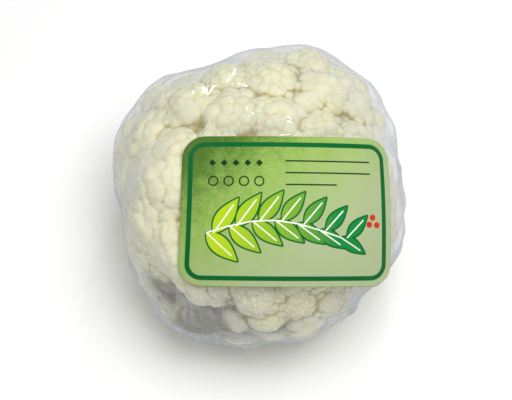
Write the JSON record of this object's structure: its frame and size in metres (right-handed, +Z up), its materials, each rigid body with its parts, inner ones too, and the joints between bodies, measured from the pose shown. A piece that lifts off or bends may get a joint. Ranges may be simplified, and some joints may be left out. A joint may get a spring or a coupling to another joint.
{
  "type": "cauliflower",
  "caption": "Trimmed white cauliflower head wrapped in clear stretch film, with a green printed label stuck on its upper front, standing on its cut stalk",
  "frame": {"origin": "centre of the cut face of the stalk, which the head stands on", "axes": "+Z up; +X to the right of the label as it is read; -Y towards the label's side"},
  "size_m": [0.15, 0.1588, 0.1285],
  "materials": {
    "curd": "matte, slightly waxy",
    "film": "clear, glossy, wrinkled",
    "label": "printed, semi-gloss"
  },
  "bodies": {
    "root": {"cauliflower_head": "curd", "film": "film", "label": "label"}
  },
  "joints": []
}
